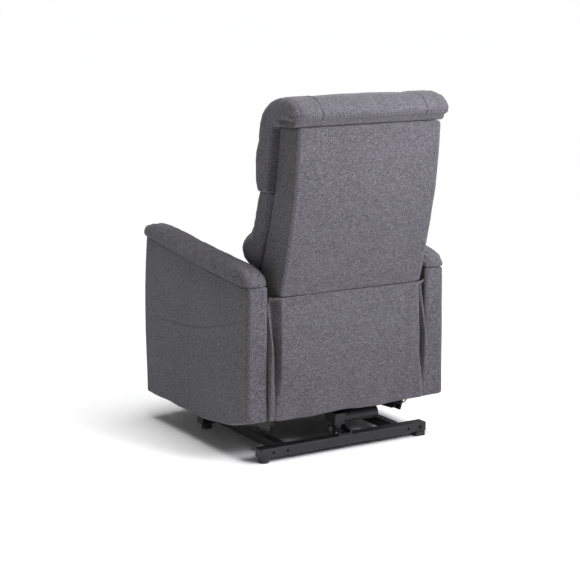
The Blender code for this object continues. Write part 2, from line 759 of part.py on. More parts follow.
def back_brackets():
    bar_end = crossbar_point()
    for side in (1, -1):
        centres = (BACK_PIVOT, bar_end, (0.085, 0.520))
        bracket = flat_link("back_bracket", centres, 0.016, BACK_BRACKET_PLANE, side)
        boss(bracket, BACK_PIVOT, 0.012, BACK_BRACKET_PLANE[0] + BOSS_BITE, CHASSIS_PLANE[1] + GAP, side)
    reach = BACK_BRACKET_PLANE[0] - GAP
    bar = cross_rod(bar_end, CROSSBAR_RADIUS, -reach, reach, 16)
    make_object("back_crossbar", bar, black_steel(), pivot_at(BACK_PIVOT))


# ---------------------------------------------------------------- seat


def seat_rails():
    """Side rails that slide on the chassis plates and carry the footrest pivots."""
    low = SEAT_DECK_TOP - 0.0145
    hanger = [(0.284, 0.300), (0.300, 0.243), (0.440, 0.228), (0.466, 0.240), (0.476, 0.300)]
    hole_radius = DRIVE_TUBE_RADIUS + BEARING_CLEARANCE
    for side in (1, -1):
        x0, x1 = span(SEAT_RAIL_PLANE, side)
        bar = prism(rectangle(0.200, 0.560, 0.290, low), x0, x1)
        rail = make_object(side_name("seat_rail", side), bar, black_steel())
        combine(rail, prism(hanger, x0, x1), "UNION")
        combine(rail, cross_rod(FOOT_PIVOT, hole_radius, *span((0.205, 0.222), side), 16), "DIFFERENCE")
        for u in (0.222, 0.540):
            boss(rail, (u, 0.309), 0.009, SEAT_RAIL_PLANE[0] + BOSS_BITE, CHASSIS_PLANE[0] - GAP, side)


def seat_deck():
    deck = beveled_box(-0.262, 0.262, 0.170, 0.604, SEAT_DECK_TOP - 0.0142, SEAT_DECK_TOP, 0.002)
    make_object("seat_deck", deck, stained_board())


def seat_cushion():
    low = SEAT_DECK_TOP + GAP
    top = [(0.702, 0.440), (0.686, 0.474), (0.640, 0.489), (0.550, 0.488), (0.400, 0.480)]
    top += [(0.260, 0.470), (0.185, 0.461), (0.160, 0.440)]
    underside = [(0.160, low), (0.622, low), (0.626, 0.386), (0.690, 0.386), (0.701, 0.400)]
    outline = [*underside, *smooth(top, 2)]
    solid = pillow(outline, -SEAT_HALF, SEAT_HALF, 0.022, (0.43, 0.0), (0.27, 0.075), lambda u: low, 3)
    make_object("seat_cushion", solid, fabric(), sharp_degrees=70.0)


# ---------------------------------------------------------------- footrest


def elbow():
    """Stowed joint between the footrest arm and its link, below the line of their end pivots."""
    du = OTTOMAN_PIVOT[0] - FOOT_PIVOT[0]
    dz = OTTOMAN_PIVOT[1] - FOOT_PIVOT[1]
    apart = math.hypot(du, dz)
    opening = math.degrees(math.acos(apart / (2 * FOOT_LINK_LENGTH)))
    return polar(FOOT_PIVOT, FOOT_LINK_LENGTH, math.degrees(math.atan2(dz, du)) - opening)


def footrest_linkage():
    knee = elbow()
    arm_root = FOOT_ARM_PLANE[0] + BOSS_BITE
    link_root = FOOT_LINK_PLANE[1] - BOSS_BITE
    guide_root = GUIDE_LINK_PLANE[1] - BOSS_BITE
    tilt_root = TILT_LINK_PLANE[0] + BOSS_BITE
    for side in (1, -1):
        arm = flat_link("foot_arm", (FOOT_PIVOT, knee, TILT_START), 0.011, FOOT_ARM_PLANE, side)
        boss(arm, knee, 0.007, arm_root, FOOT_LINK_PLANE[0] - GAP, side)
        link = flat_link("foot_link", (knee, OTTOMAN_PIVOT, GUIDE_END), 0.010, FOOT_LINK_PLANE, side)
        boss(link, OTTOMAN_PIVOT, 0.007, FOOT_ARM_PLANE[1] + GAP, link_root, side)
        guide = flat_link("guide_link", (GUIDE_START, GUIDE_END), 0.009, GUIDE_LINK_PLANE, side)
        boss(guide, GUIDE_START, 0.006, SEAT_RAIL_PLANE[1] + GAP, guide_root, side)
        boss(guide, GUIDE_END, 0.006, FOOT_LINK_PLANE[1] + GAP, guide_root, side)
        tilt = flat_link("tilt_link", (TILT_START, TILT_END), 0.009, TILT_LINK_PLANE, side)
        boss(tilt, TILT_START, 0.006, tilt_root, FOOT_ARM_PLANE[0] - GAP, side)
        boss(tilt, TILT_END, 0.006, tilt_root, FOOT_ARM_PLANE[0] - GAP, side)
    reach = FOOT_ARM_PLANE[0] - GAP
    tube = cross_rod(FOOT_PIVOT, DRIVE_TUBE_RADIUS, -reach, reach, 16)
    drive = make_object("foot_drive_tube", tube, black_steel(), pivot_at(FOOT_PIVOT))
    add_crank(drive, FOOT_PIVOT, foot_crank_end(), MOTOR_OFFSET)


def ottoman():
    panel = prism(rectangle(0.660, 0.672, 0.114, 0.360), -0.270, 0.270)
    board = make_object("ottoman_board", panel, stained_board(), pivot_at(OTTOMAN_PIVOT))
    lug = rounded_hull((TILT_END, OTTOMAN_PIVOT, (0.659, 0.345), (0.659, 0.310)), 0.009)
    for side in (1, -1):
        combine(board, prism(lug, *span(FOOT_ARM_PLANE, side)), "UNION")
    outline = [(0.6725, 0.112), (0.705, 0.112), (0.716, 0.122), (0.7185, 0.160), (0.7200, 0.240)]
    outline += [(0.7185, 0.315), (0.716, 0.350), (0.705, 0.362), (0.6725, 0.362)]
    solid = pillow(outline, -0.290, 0.290, 0.014, (0.6725, 0.237), (0.048, 0.125), corner_steps=3)
    make_object("ottoman_pad", solid, fabric(), pivot_at(OTTOMAN_PIVOT), sharp_degrees=70.0)


def main():
    clear_scene()
    base_bars()
    base_feet()
    lift_brackets()
    motor_bracket()
    lift_linkage()
    lift_actuator()
    back_actuator()
    foot_actuator()
    chassis_plates()
    chassis_tubes()
    control_box()
    arms()
    arm_pads()
    rear_skirt()
    motor_lead()
    handset()
    back_shell()
    head_cushion()
    lumbar_cushion()
    lower_back_cushion()
    back_brackets()
    seat_rails()
    seat_deck()
    seat_cushion()
    footrest_linkage()
    ottoman()


main()
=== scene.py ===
"""Looks of the powered lift recliner: upholstery, stitching, metal, plastic, floor, light and camera."""

import math

import bmesh
import bpy
import numpy as np
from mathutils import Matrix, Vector, noise
from mathutils.bvhtree import BVHTree


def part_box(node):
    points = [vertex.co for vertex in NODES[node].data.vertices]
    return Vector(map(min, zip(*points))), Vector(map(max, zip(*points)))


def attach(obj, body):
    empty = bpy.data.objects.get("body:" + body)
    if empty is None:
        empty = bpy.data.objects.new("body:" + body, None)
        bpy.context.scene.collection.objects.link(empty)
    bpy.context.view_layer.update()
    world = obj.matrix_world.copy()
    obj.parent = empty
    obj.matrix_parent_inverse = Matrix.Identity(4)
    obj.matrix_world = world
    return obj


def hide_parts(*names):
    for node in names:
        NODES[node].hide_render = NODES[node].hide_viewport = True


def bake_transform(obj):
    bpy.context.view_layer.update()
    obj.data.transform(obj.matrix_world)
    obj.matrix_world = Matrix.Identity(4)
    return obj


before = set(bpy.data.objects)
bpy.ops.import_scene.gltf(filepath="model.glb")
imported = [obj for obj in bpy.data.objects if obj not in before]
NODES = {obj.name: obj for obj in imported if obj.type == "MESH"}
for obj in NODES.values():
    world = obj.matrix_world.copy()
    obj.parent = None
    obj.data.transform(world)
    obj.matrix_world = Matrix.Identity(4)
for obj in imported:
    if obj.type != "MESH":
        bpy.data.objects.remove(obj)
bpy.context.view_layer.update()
SCENE = bpy.context.scene
REAR_PLANE = 0.29  # y of the arms' rear plane; u below is the distance forward of it


# ---------------------------------------------------------------- node trees


def new_tree(name):
    made = bpy.data.materials.new(name)
    made.use_nodes = True
    return made, made.node_tree, made.node_tree.nodes["Principled BSDF"]


def node(tree, kind, inputs=(), **settings):
    made = tree.nodes.new(kind)
    for key, value in settings.items():
        setattr(made, key, value)
    for key, value in dict(inputs).items():
        if isinstance(value, bpy.types.NodeSocket):
            tree.links.new(value, made.inputs[key])
        else:
            made.inputs[key].default_value = value
    return made


def math_node(tree, operation, a, b=0.0, clamp=False):
    made = tree.nodes.new("ShaderNodeMath")
    made.operation = operation
    made.use_clamp = clamp
    for i, value in enumerate((a, b)):
        if isinstance(value, bpy.types.NodeSocket):
            tree.links.new(value, made.inputs[i])
        else:
            made.inputs[i].default_value = value
    return made.outputs[0]


def mix_colour(tree, factor, a, b, blend="MIX"):
    made = tree.nodes.new("ShaderNodeMix")
    made.data_type = "RGBA"
    made.blend_type = blend
    for socket, value in ((made.inputs[0], factor), (made.inputs[6], a), (made.inputs[7], b)):
        if isinstance(value, bpy.types.NodeSocket):
            tree.links.new(value, socket)
        elif hasattr(value, "__len__"):
            socket.default_value = (*value[:3], 1.0)
        else:
            socket.default_value = value
    return made.outputs[2]


def stretched_noise(tree, place, scale, detail=2.0, roughness=0.6):
    mapping = node(tree, "ShaderNodeMapping", {"Vector": place, "Scale": scale})
    inputs = {"Vector": mapping.outputs[0], "Scale": 1.0, "Detail": detail, "Roughness": roughness}
    return node(tree, "ShaderNodeTexNoise", inputs).outputs["Fac"]


def spread(tree, value, low, high):
    """value from low..high to 0..1, clamped."""
    made = node(tree, "ShaderNodeMapRange", {"Value": value, "From Min": low, "From Max": high})
    return made.outputs["Result"]


# ---------------------------------------------------------------- materials

DARK_THREAD = (0.0245, 0.0234, 0.0258)
MID_THREAD = (0.0630, 0.0606, 0.0680)
LIGHT_THREAD = (0.158, 0.152, 0.170)


def weave_material():
    """Charcoal melange: warp and weft slubs of three greys, a fine plain weave, soft streaks, painted shade in the seam
    grooves and lighter seam shoulders that are partly rub wear and partly painted highlight.
    """
    made, tree, shader = new_tree("melange_weave")
    place = node(tree, "ShaderNodeTexCoord").outputs["Object"]
    along = [
        stretched_noise(tree, place, (120, 640, 640)),
        stretched_noise(tree, place, (640, 640, 120)),
        stretched_noise(tree, place, (640, 120, 640)),
    ]
    threads = math_node(tree, "ADD", math_node(tree, "ADD", along[0], along[1]), along[2])
    threads = spread(tree, threads, 1.20, 1.80)
    slubs = math_node(
        tree,
        "ADD",
        stretched_noise(tree, place, (70, 520, 420)),
        stretched_noise(tree, place, (520, 70, 420)),
    )
    slubs = spread(tree, slubs, 0.70, 1.30)
    fleck = spread(tree, stretched_noise(tree, place, (340, 340, 260)), 0.30, 0.70)
    tone = math_node(tree, "ADD", math_node(tree, "MULTIPLY", threads, 0.44), math_node(tree, "MULTIPLY", slubs, 0.30))
    tone = math_node(tree, "ADD", tone, math_node(tree, "MULTIPLY", fleck, 0.26))
    ramp = node(tree, "ShaderNodeValToRGB", {"Fac": tone})
    stops = ramp.color_ramp.elements
    stops[0].position, stops[0].color = 0.25, (*DARK_THREAD, 1.0)
    stops[1].position, stops[1].color = 0.77, (*LIGHT_THREAD, 1.0)
    middle = stops.new(0.50)
    middle.color = (*MID_THREAD, 1.0)
    streak = spread(tree, stretched_noise(tree, place, (3.2, 3.2, 26), 4.0), 0.30, 0.70)
    cloud = spread(tree, stretched_noise(tree, place, (6, 6, 6), 3.0), 0.30, 0.70)
    tint = math_node(tree, "ADD", math_node(tree, "MULTIPLY", cloud, 0.14), math_node(tree, "MULTIPLY", streak, 0.09))
    colour = mix_colour(tree, tint, ramp.outputs["Color"], (0.128, 0.122, 0.138))
    seam_shade = node(tree, "ShaderNodeAttribute", attribute_name="seam_shade").outputs["Fac"]
    wear_and_highlight = node(tree, "ShaderNodeAttribute", attribute_name="wear_and_highlight").outputs["Fac"]
    # Painted shade: the colour darkens in the seam grooves, where shade falls.
    colour = mix_colour(tree, math_node(tree, "MULTIPLY", seam_shade, 0.62), colour, (0.020, 0.019, 0.023))
    # Lighter crests beside the seams and on corners: partly rub wear, partly painted highlight.
    colour = mix_colour(tree, math_node(tree, "MULTIPLY", wear_and_highlight, 0.09), colour, (0.26, 0.252, 0.280))
    tree.links.new(colour, shader.inputs["Base Color"])
    shader.inputs["Sheen Weight"].default_value = 0.16
    shader.inputs["Sheen Roughness"].default_value = 0.45
    shader.inputs["Specular IOR Level"].default_value = 0.22
    rough = node(tree, "ShaderNodeMapRange", {"Value": tone, "To Min": 0.98, "To Max": 0.84})
    tree.links.new(rough.outputs["Result"], shader.inputs["Roughness"])
    weave = None
    for direction in ("X", "Y", "Z"):
        wave = node(
            tree,
            "ShaderNodeTexWave",
            {"Vector": place, "Scale": 130.0, "Distortion": 1.6, "Detail": 1.0, "Detail Scale": 2.0},
            bands_direction=direction,
        ).outputs["Fac"]
        weave = wave if weave is None else math_node(tree, "ADD", weave, wave)
    height = math_node(tree, "ADD", math_node(tree, "MULTIPLY", weave, 0.30), math_node(tree, "MULTIPLY", threads, 0.7))
    bump = node(tree, "ShaderNodeBump", {"Height": height, "Strength": 0.50, "Distance": 0.0008})
    tree.links.new(bump.outputs["Normal"], shader.inputs["Normal"])
    return made


def thread_material(name, low, high):
    """A twisted sewing thread."""
    made, tree, shader = new_tree(name)
    place = node(tree, "ShaderNodeTexCoord").outputs["Object"]
    twist = node(
        tree, "ShaderNodeTexWave", {"Vector": place, "Scale": 420.0, "Distortion": 2.0}, bands_direction="DIAGONAL"
    ).outputs["Fac"]
    tree.links.new(mix_colour(tree, twist, low, high), shader.inputs["Base Color"])
    shader.inputs["Roughness"].default_value = 0.75
    shader.inputs["Sheen Weight"].default_value = 0.2
    bump = node(tree, "ShaderNodeBump", {"Height": twist, "Strength": 0.5, "Distance": 0.0003})
    tree.links.new(bump.outputs["Normal"], shader.inputs["Normal"])
    return made


def coated_steel():
    """Black powder coat: fine orange peel, rubbed patches and dust on upward faces."""
    made, tree, shader = new_tree("powder_coat_black")
    place = node(tree, "ShaderNodeTexCoord").outputs["Object"]
    peel = stretched_noise(tree, place, (900, 900, 900), 2.0)
    rub = spread(tree, stretched_noise(tree, place, (22, 22, 22), 4.0), 0.42, 0.75)
    colour = mix_colour(tree, rub, (0.0062, 0.0062, 0.0068), (0.0155, 0.0155, 0.0165))
    facing = node(tree, "ShaderNodeTexCoord").outputs["Normal"]
    up = node(tree, "ShaderNodeSeparateXYZ", {"Vector": facing}).outputs["Z"]
    patches = spread(tree, stretched_noise(tree, place, (60, 60, 60)), 0.35, 0.8)
    dust = math_node(tree, "MULTIPLY", spread(tree, up, 0.55, 1.0), patches)
    colour = mix_colour(tree, math_node(tree, "MULTIPLY", dust, 0.06), colour, (0.12, 0.12, 0.125))
    tree.links.new(colour, shader.inputs["Base Color"])
    shader.inputs["Metallic"].default_value = 0.0
    shader.inputs["Specular IOR Level"].default_value = 0.42
    rough = node(tree, "ShaderNodeMapRange", {"Value": rub, "To Min": 0.36, "To Max": 0.56})
    tree.links.new(rough.outputs["Result"], shader.inputs["Roughness"])
    bump = node(tree, "ShaderNodeBump", {"Height": peel, "Strength": 0.25, "Distance": 0.0003})
    tree.links.new(bump.outputs["Normal"], shader.inputs["Normal"])
    return made


def moulded_plastic(name, low, high, rough_low=0.42, rough_high=0.60, grain=1400):
    made, tree, shader = new_tree(name)
    place = node(tree, "ShaderNodeTexCoord").outputs["Object"]
    spark = stretched_noise(tree, place, (grain, grain, grain), 1.0)
    cloud = spread(tree, stretched_noise(tree, place, (30, 30, 30), 3.0), 0.35, 0.7)
    tree.links.new(mix_colour(tree, cloud, low, high), shader.inputs["Base Color"])
    rough = node(tree, "ShaderNodeMapRange", {"Value": cloud, "To Min": rough_low, "To Max": rough_high})
    tree.links.new(rough.outputs["Result"], shader.inputs["Roughness"])
    bump = node(tree, "ShaderNodeBump", {"Height": spark, "Strength": 0.35, "Distance": 0.0002})
    tree.links.new(bump.outputs["Normal"], shader.inputs["Normal"])
    return made


def bright_metal(name, colour, rough_low, rough_high):
    made, tree, shader = new_tree(name)
    place = node(tree, "ShaderNodeTexCoord").outputs["Object"]
    lines = stretched_noise(tree, place, (300, 1500, 1500), 3.0)
    cloud = spread(tree, stretched_noise(tree, place, (40, 40, 40), 3.0), 0.3, 0.7)
    darker = tuple(c * 0.72 for c in colour)
    tree.links.new(mix_colour(tree, cloud, darker, colour), shader.inputs["Base Color"])
    shader.inputs["Metallic"].default_value = 1.0
    rough = node(tree, "ShaderNodeMapRange", {"Value": lines, "To Min": rough_low, "To Max": rough_high})
    tree.links.new(rough.outputs["Result"], shader.inputs["Roughness"])
    bump = node(tree, "ShaderNodeBump", {"Height": lines, "Strength": 0.12, "Distance": 0.0002})
    tree.links.new(bump.outputs["Normal"], shader.inputs["Normal"])
    return made


def stained_and_shade_board_material():
    """Black-stained plywood, kept this dark partly as painted shade for the dim space under the chair: long grain
    showing faintly through the stain, and its layers on the edges.
    """
    made, tree, shader = new_tree("black_stained_board_painted_shade")
    place = node(tree, "ShaderNodeTexCoord").outputs["Object"]
    grain = stretched_noise(tree, place, (9, 160, 160), 5.0, 0.7)
    face = mix_colour(tree, spread(tree, grain, 0.30, 0.70), (0.013, 0.011, 0.010), (0.042, 0.036, 0.032))
    plies = node(
        tree, "ShaderNodeTexWave", {"Vector": place, "Scale": 130.0, "Distortion": 0.3}, bands_direction="Z"
    ).outputs["Fac"]
    upright = node(tree, "ShaderNodeSeparateXYZ", {"Vector": node(tree, "ShaderNodeTexCoord").outputs["Normal"]})
    edge = math_node(tree, "SUBTRACT", 1.0, spread(tree, math_node(tree, "ABSOLUTE", upright.outputs["Z"]), 0.3, 0.6))
    layered = mix_colour(tree, plies, (0.010, 0.009, 0.008), (0.034, 0.029, 0.026))
    tree.links.new(mix_colour(tree, edge, face, layered), shader.inputs["Base Color"])
    rough = node(tree, "ShaderNodeMapRange", {"Value": grain, "To Min": 0.78, "To Max": 0.60})
    tree.links.new(rough.outputs["Result"], shader.inputs["Roughness"])
    bump = node(tree, "ShaderNodeBump", {"Height": grain, "Strength": 0.25, "Distance": 0.0004})
    tree.links.new(bump.outputs["Normal"], shader.inputs["Normal"])
    return made


def floor_material():
    made, tree, shader = new_tree("pale_floor")
    place = node(tree, "ShaderNodeTexCoord").outputs["Object"]
    cloud = stretched_noise(tree, place, (1.5, 1.5, 1.5), 3.0)
    tree.links.new(mix_colour(tree, cloud, (0.972, 0.972, 0.974), (0.985, 0.985, 0.985)), shader.inputs["Base Color"])
    shader.inputs["Roughness"].default_value = 0.75
    shader.inputs["Specular IOR Level"].default_value = 0.2
    return made


WEAVE = weave_material()
LIGHT_TOPSTITCH = thread_material("topstitch_thread", (0.27, 0.26, 0.295), (0.44, 0.43, 0.475))
COAT = coated_steel()
BLACK_PLASTIC = moulded_plastic("black_moulding", (0.010, 0.010, 0.011), (0.020, 0.020, 0.022))
RUBBER = moulded_plastic("black_rubber", (0.012, 0.012, 0.012), (0.026, 0.025, 0.025), 0.65, 0.85, 700)
CABLE_BLACK = moulded_plastic("cable_sheath", (0.010, 0.010, 0.010), (0.018, 0.018, 0.018), 0.38, 0.5, 900)
KEY_GREY = moulded_plastic("grey_key_moulding", (0.25, 0.25, 0.26), (0.33, 0.33, 0.34), 0.45, 0.6)
CHROME = bright_metal("chromed_rod", (0.78, 0.78, 0.80), 0.08, 0.20)
ZINC = bright_metal("zinc_plated", (0.62, 0.62, 0.60), 0.24, 0.42)
STAINED_SHADE_BOARD = stained_and_shade_board_material()
FLOOR = floor_material()


# ---------------------------------------------------------------- meshes


def coordinates(mesh):
    flat = np.empty(len(mesh.vertices) * 3, np.float32)
    mesh.vertices.foreach_get("co", flat)
    return flat.reshape(-1, 3).astype(float)


def set_coordinates(mesh, points):
    mesh.vertices.foreach_set("co", np.asarray(points, np.float32).ravel())
    mesh.update()


def normals(mesh):
    flat = np.empty(len(mesh.vertices) * 3, np.float32)
    mesh.vertex_normals.foreach_get("vector", flat)
    return flat.reshape(-1, 3).astype(float)


def add_object(name, mesh, material=None, body=None):
    made = bpy.data.objects.new(name, mesh)
    SCENE.collection.objects.link(made)
    if material:
        mesh.materials.clear()
        mesh.materials.append(material)
    if body:
        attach(made, body)
    return made


def apply_modifiers(obj):
    graph = bpy.context.evaluated_depsgraph_get()
    made = bpy.data.meshes.new_from_object(obj.evaluated_get(graph))
    obj.modifiers.clear()
    old = obj.data
    obj.data = made
    bpy.data.meshes.remove(old)
    made.name = obj.name


def subdivide(obj):
    step = obj.modifiers.new("subdivide", "SUBSURF")
    step.levels = step.render_levels = 1
    apply_modifiers(obj)


def remeshed(name, source, voxel):
    """An even quad skin round a CAD node."""
    mesh = NODES[source].data.copy()
    mesh.materials.clear()
    made = add_object(name, mesh)
    step = made.modifiers.new("remesh", "REMESH")
    step.mode = "VOXEL"
    step.voxel_size = voxel
    step.use_smooth_shade = True
    apply_modifiers(made)
    even = made.modifiers.new("even", "SMOOTH")
    even.factor = 0.5
    even.iterations = 3
    apply_modifiers(made)
    return made


def wrapped(name, source, voxel):
    """A fine quad skin that lies on the CAD node's surface and keeps its edges."""
    made = remeshed(name, source, voxel)
    subdivide(made)
    snug = made.modifiers.new("snug", "SHRINKWRAP")
    snug.target = NODES[source]
    snug.wrap_method = "NEAREST_SURFACEPOINT"
    apply_modifiers(made)
    return made


def paint(obj, name, values):
    layer = obj.data.attributes.get(name) or obj.data.attributes.new(name, "FLOAT", "POINT")
    layer.data.foreach_set("value", np.asarray(values, np.float32))


def field(points, scale, seed):
    """Smooth noise, about -1 to 1, at each point."""
    shift = Vector((seed * 17.3, seed * 5.1, seed * 9.7))
    return np.array([noise.noise(Vector(p) * scale + shift) for p in points])


def bell(distance, width):
    return np.exp(-((distance / width) ** 2))


def ramp(value, low, high):
    t = np.clip((value - low) / (high - low), 0.0, 1.0)
    return t * t * (3 - 2 * t)


def polyline_distance(points, line):
    """Distance from 2-D points to a polyline, and the distance along it."""
    best = np.full(len(points), 1e9)
    along = np.zeros(len(points))
    walked = 0.0
    for a, b in zip(line, line[1:]):
        a, b = np.array(a), np.array(b)
        step = b - a
        size = np.linalg.norm(step)
        t = np.clip((points - a) @ step / size**2, 0, 1)
        gap = np.linalg.norm(points - (a + t[:, None] * step), axis=1)
        nearer = gap < best
        best = np.where(nearer, gap, best)
        along = np.where(nearer, walked + t * size, along)
        walked += size
    return best, along


class Shape:
    """A skin being worked: its points, outward directions, and the painted seam shade and the lighter shoulders and
    corners (partly rub wear, partly painted highlight) that its weave reads.
    """

    def __init__(self, obj):
        self.obj = obj
        self.points = coordinates(obj.data)
        self.out = normals(obj.data)
        self.seam_shade = np.zeros(len(self.points))
        self.wear_and_highlight = np.zeros(len(self.points))

    @property
    def x(self):
        return self.points[:, 0]

    @property
    def u(self):
        return REAR_PLANE - self.points[:, 1]

    @property
    def z(self):
        return self.points[:, 2]

    def push(self, amount):
        self.points += self.out * amount[:, None]

    def sew(self, distance, depth, width, mask=1.0, painted_shading=1.0, shoulder=0.0):
        """A seam pulled in by depth, with painted shade in its groove and a slightly raised shoulder on both sides,
        painted lighter as partly rub wear and partly painted highlight.
        """
        self.push((-depth * bell(distance, width) + shoulder * bell(distance - 2.4 * width, 1.5 * width)) * mask)
        # painted shade along the seam's groove
        self.seam_shade = np.maximum(self.seam_shade, bell(distance, width * 0.62) * mask * painted_shading)
        # lighter shoulders beside the seam: partly rub wear, partly painted highlight
        self.wear_and_highlight = np.maximum(self.wear_and_highlight, 0.8 * bell(distance - 1.9 * width, width * 0.9) * mask * painted_shading)

    def finish(self):
        set_coordinates(self.obj.data, self.points)
        # the painted seam shade and the lighter crests, partly rub wear and partly painted highlight, go to the weave
        paint(self.obj, "seam_shade", self.seam_shade)
        paint(self.obj, "wear_and_highlight", self.wear_and_highlight)
        self.obj.data.materials.clear()
        self.obj.data.materials.append(WEAVE)
        self.obj.data.shade_smooth()


# ---------------------------------------------------------------- padded pieces

SHELL_FRONT = ((0.115, 0.435), (0.110, 0.600), (0.097, 0.628), (0.053, 0.742), (0.018, 0.858), (-0.015, 1.062))
LUMBAR_HALF = 0.272  # half the width of the lumbar and lower back cushions
HEAD_SEAMS = 0.190  # the head roll's three segments meet at plus and minus this x


def shell_front(z):
    heights = [p[1] for p in SHELL_FRONT]
    return np.interp(z, heights, [p[0] for p in SHELL_FRONT])


def head_pins(x, u, z):
    held = (u < shell_front(z) + 0.008) & (z < 1.072) & (u > -0.112)
    rear_strip = (u < -0.092) & (z < 1.112)
    return held | rear_strip | (np.abs(np.abs(x) - HEAD_SEAMS) < 0.0036)


def back_pins(x, u, z):
    return u < shell_front(z) + 0.009


def seat_pins(x, u, z):
    return z < 0.352


def ottoman_pins(x, u, z):
    return u < 0.680


def pad_pins(x, u, z):
    return z < 0.573 + 0.066 * u + 0.055 * u * u - 0.045 * np.maximum(0.0, u - 0.6) + 0.006


PADS = {
    # name: CAD node, body, voxel, starting inset, cap, pins
    "head_pillow": ("head_cushion", "back", 0.0065, 0.0012, 0.009, head_pins),
    "lumbar_pillow": ("lumbar_cushion", "back", 0.006, 0.0012, 0.010, back_pins),
    "lower_back_pillow": ("lower_back_cushion", "back", 0.006, 0.0012, 0.009, back_pins),
    "seat_pad": ("seat_cushion", "seat", 0.007, 0.0025, 0.012, seat_pins),
    "footrest_pad": ("ottoman_pad", "ottoman", 0.006, 0.0012, 0.007, ottoman_pins),
    "arm_top_pad_left": ("arm_pad_left", "chassis", 0.005, 0.0010, 0.006, pad_pins),
}


def evened(mesh, moves, rounds=8):
    """Each point's move averaged with its neighbours', which fades ripples shorter than about 20 mm."""
    ends = np.empty(2 * len(mesh.edges), int)
    mesh.edges.foreach_get("vertices", ends)
    a, b = ends[0::2], ends[1::2]
    count = np.maximum(1, np.bincount(ends, minlength=len(moves)))[:, None]
    for _ in range(rounds):
        total = np.zeros_like(moves)
        np.add.at(total, a, moves[b])
        np.add.at(total, b, moves[a])
        moves = 0.5 * moves + 0.5 * total / count
    return moves


def make_pads():
    """The pads swell from slightly smaller skins, all in one run of the cloth solver; the right arm pad is mirrored."""
    made = {}
    for name, (source, _, voxel, inset, _, pins) in PADS.items():
        obj = remeshed(name, source, voxel)
        points = coordinates(obj.data)
        held = pins(points[:, 0], REAR_PLANE - points[:, 1], points[:, 2])
        points -= normals(obj.data) * inset * (~held)[:, None]
        set_coordinates(obj.data, points)
        made[name] = (obj, points, held)
    simulate(made)
    for name, (obj, points, held) in made.items():
        source, cap = PADS[name][0], PADS[name][4]
        swollen = evened(obj.data, coordinates(obj.data) - points)
        size = np.linalg.norm(swollen, axis=1, keepdims=True)
        points = points + swollen * np.minimum(1.0, cap / np.maximum(size, 1e-9))
        low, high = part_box(source)
        points = np.clip(points, np.array(low) + 0.0004, np.array(high) - 0.0004)
        set_coordinates(obj.data, points)
        subdivide(obj)
    return {name: made[name][0] for name in made}


STRETCH_STIFFNESS, SHEAR_STIFFNESS, BENDING_STIFFNESS = 12.0, 6.0, 6.0
FILL_PRESSURE = 4.0
CLOTH_GROWTH = 0.012  # the share by which the cloth may grow
LAST_FRAME = 20


def simulate(made):
    for obj, _, held in made.values():
        group = obj.vertex_groups.new(name="held")
        group.add([int(i) for i in np.flatnonzero(held)], 1.0, "REPLACE")
        cloth = obj.modifiers.new("cloth", "CLOTH")
        settings = cloth.settings
        settings.quality = 5
        settings.mass = 0.35
        settings.tension_stiffness = settings.compression_stiffness = STRETCH_STIFFNESS
        settings.shear_stiffness = SHEAR_STIFFNESS
        settings.bending_stiffness = BENDING_STIFFNESS
        settings.shrink_min = -CLOTH_GROWTH
        settings.use_pressure = True
        settings.uniform_pressure_force = FILL_PRESSURE
        settings.effector_weights.gravity = 0.0
        settings.vertex_group_mass = "held"
        cloth.collision_settings.use_collision = False
        cloth.point_cache.frame_start = 1
        cloth.point_cache.frame_end = LAST_FRAME + 10
    for step in range(1, LAST_FRAME + 1):
        SCENE.frame_set(step)
    for obj, _, _ in made.values():
        apply_modifiers(obj)
        obj.vertex_groups.clear()
    SCENE.frame_set(1)


def gathered(along, pitch, seed):
    """Uneven ripples across a gathered seam."""
    wobble = 0.35 * np.sin(along / pitch * 1.7 + seed) + 0.25 * np.sin(along / pitch * 0.61 + 2 * seed)
    return np.sin(math.tau * along / pitch + 2.2 * wobble)


def dress_head(obj):
    shape = Shape(obj)
    x, u, z = shape.x.copy(), shape.u.copy(), shape.z.copy()
    outer = 1.0 - ramp(-(u - shell_front(z)), -0.020, -0.004) * (z < 1.07)
    run = np.arctan2(z - 1.02, u + 0.01) * 0.13
    rear = ramp(-u, 0.095, 0.110)
    strip = rear * (1 - ramp(z, 1.078, 1.094)) * (np.abs(x) < 0.285)
    shape.points[:, 1] -= 0.0050 * strip
    reach = 0.2735 + 0.0185 * ramp(z, 1.076, 1.100)
    trimmed = np.sign(x) * np.minimum(np.abs(x), reach)
    shape.points[:, 0] += (trimmed - x) * ramp(-u, 0.050, 0.080)
    for side in (1, -1):
        gap = np.abs(x - side * HEAD_SEAMS)
        shape.push(0.0008 * gathered(run + 0.010 * field(shape.points, 22, 6), 0.026, side) * bell(gap, 0.016) * outer)
        shape.sew(gap, 0.0046, 0.0032, outer * (1 - 0.85 * strip), 0.9, 0.0006)
        end = (x * side > 0) * outer
        rim = np.abs(np.abs(x) - 0.266)
        ripple = gathered(run + 0.012 * field(shape.points, 22, 2), 0.031, 3 + side)
        shape.push(0.0011 * ripple * bell(rim, 0.018) * end)
        shape.sew(rim, 0.0016, 0.0022, end * ramp(z, 0.90, 0.95) * (1 - strip), 0.55)
        low_rim = np.abs(z - 1.0785 - 0.10 * (np.abs(x) - 0.27))
        shape.sew(low_rim, 0.0026, 0.0028, end * ramp(np.abs(x), 0.245, 0.270) * ramp(-u, 0.02, 0.07), 0.75)
    shape.push(0.0018 * field(shape.points, 14, 1) * outer * (1 - strip))
    shape.sew(np.abs(z - 1.0955), 0.0022, 0.0026, rear * 1.0, 0.50, 0.0006)
    shape.finish()


